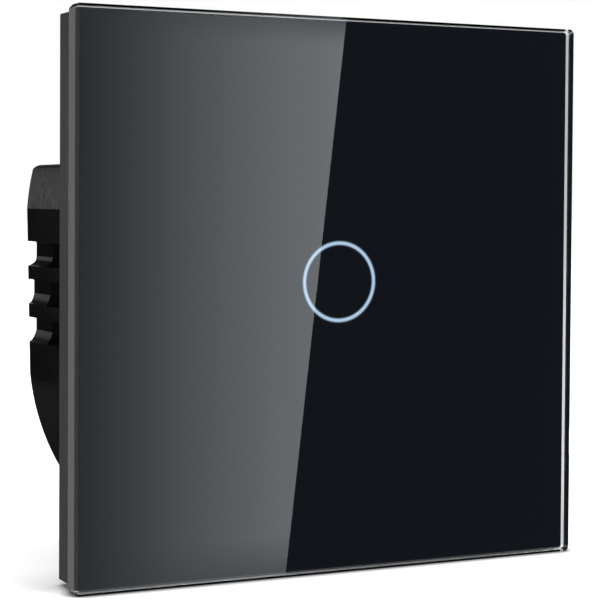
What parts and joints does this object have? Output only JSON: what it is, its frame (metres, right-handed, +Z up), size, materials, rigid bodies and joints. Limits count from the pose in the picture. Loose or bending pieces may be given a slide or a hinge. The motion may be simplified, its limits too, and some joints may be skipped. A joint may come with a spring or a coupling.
{
  "type": "touch light switch",
  "caption": "Square wall-mounted touch light switch: bevelled glass panel with a lit ring, push-on frame, and a rear housing with screw terminals and a relay.",
  "frame": {"origin": "on the wall's face, midway between the two box-screw slots, behind the panel's middle", "axes": "+Y into the wall, so the glass faces -Y; +Z up; +X to the right seen from the front"},
  "size_m": [0.086, 0.045, 0.086],
  "materials": {
    "clear_glass": "polished front and bevel, ground sides",
    "black_print": "opaque print",
    "lit_ring": "translucent, lit from behind",
    "black_tape": "matt",
    "frame_black": "fine satin",
    "plate_black": "fine satin",
    "housing_black": "satin",
    "screw_steel": "zinc plated",
    "board_green": "solder resist",
    "clear_guide": "clear moulding",
    "white_plastic": "matt",
    "foam_grey": "conductive foam",
    "chip_black": "matt",
    "contact_brass": "plain",
    "film_yellow": "glossy case",
    "sleeve_blue": "shrink sleeve",
    "ferrite_grey": "matt",
    "coil_tape": "winding tape",
    "resistor_blue": "lacquer",
    "disc_blue": "epoxy dip",
    "block_black": "matt",
    "terminal_steel": "zinc plated",
    "clamp_steel": "zinc plated",
    "cover_blue": "moulded cover",
    "coil_copper": "enamelled wire",
    "soft_iron": "plain"
  },
  "bodies": {
    "base": {"mounting_plate": "plate_black", "rear_housing": "housing_black", "housing_screws": "screw_steel", "touch_board": "board_green", "board_screws": "screw_steel", "light_guide": "clear_guide", "ring_leds": "white_plastic", "touch_pad": "foam_grey", "touch_chip": "chip_black", "link_header": "chip_black", "link_pins": "contact_brass", "link_socket": "chip_black", "power_board": "board_green", "supply_chip": "chip_black", "film_capacitor": "film_yellow", "main_capacitor": "sleeve_blue", "transformer_core": "ferrite_grey", "transformer_coil": "coil_tape", "fuse_resistor": "resistor_blue", "varistor": "disc_blue", "bridge_rectifier": "chip_black", "terminal_block": "block_black", "terminal_contacts": "contact_brass", "relay_base": "chip_black", "relay_cover": "cover_blue", "relay_bobbin": "white_plastic", "relay_coil": "coil_copper", "relay_core": "soft_iron", "relay_yoke": "soft_iron", "relay_contact": "contact_brass"},
    "panel": {"glass_panel": "clear_glass", "back_print": "black_print", "ring_window": "lit_ring", "panel_tape": "black_tape", "panel_frame": "frame_black"},
    "screw_1": {"terminal_screw_1": "terminal_steel"},
    "screw_2": {"terminal_screw_2": "terminal_steel"},
    "screw_3": {"terminal_screw_3": "terminal_steel"},
    "clamp_1": {"terminal_clamp_1": "clamp_steel"},
    "clamp_2": {"terminal_clamp_2": "clamp_steel"},
    "clamp_3": {"terminal_clamp_3": "clamp_steel"},
    "armature": {"relay_armature": "soft_iron", "relay_blade": "contact_brass"}
  },
  "joints": [
    {"name": "panel_pull", "type": "slide", "parent": "base", "child": "panel", "axis": [0, -1, 0], "range_m": [0, 0.03]},
    {"name": "screw_turn_1", "type": "hinge", "parent": "base", "child": "screw_1", "pos_m": [-0.028, 0.0292, -0.00715], "axis": [0, -1, 0], "range_deg": [0, 2560]},
    {"name": "clamp_draw_1", "type": "slide", "parent": "base", "child": "clamp_1", "axis": [0, 1, 0], "range_m": [0, 0.0032]},
    {"name": "screw_turn_2", "type": "hinge", "parent": "base", "child": "screw_2", "pos_m": [-0.028, 0.0292, -0.0008], "axis": [0, -1, 0], "range_deg": [0, 2560]},
    {"name": "clamp_draw_2", "type": "slide", "parent": "base", "child": "clamp_2", "axis": [0, 1, 0], "range_m": [0, 0.0032]},
    {"name": "screw_turn_3", "type": "hinge", "parent": "base", "child": "screw_3", "pos_m": [-0.028, 0.0292, 0.00555], "axis": [0, -1, 0], "range_deg": [0, 2560]},
    {"name": "clamp_draw_3", "type": "slide", "parent": "base", "child": "clamp_3", "axis": [0, 1, 0], "range_m": [0, 0.0032]},
    {"name": "armature_swing", "type": "hinge", "parent": "base", "child": "armature", "pos_m": [0.0069, 0.0212, 0.006], "axis": [0, 0, -1], "range_deg": [0, 3.4], "stiffness_Nm_per_rad": 0.001, "springref_deg": -5.73}
  ],
  "couplings": [
    {"joint": "screw_turn_1", "follows": "clamp_draw_1", "rad_per_m": 13963},
    {"joint": "screw_turn_2", "follows": "clamp_draw_2", "rad_per_m": 13963},
    {"joint": "screw_turn_3", "follows": "clamp_draw_3", "rad_per_m": 13963}
  ]
}
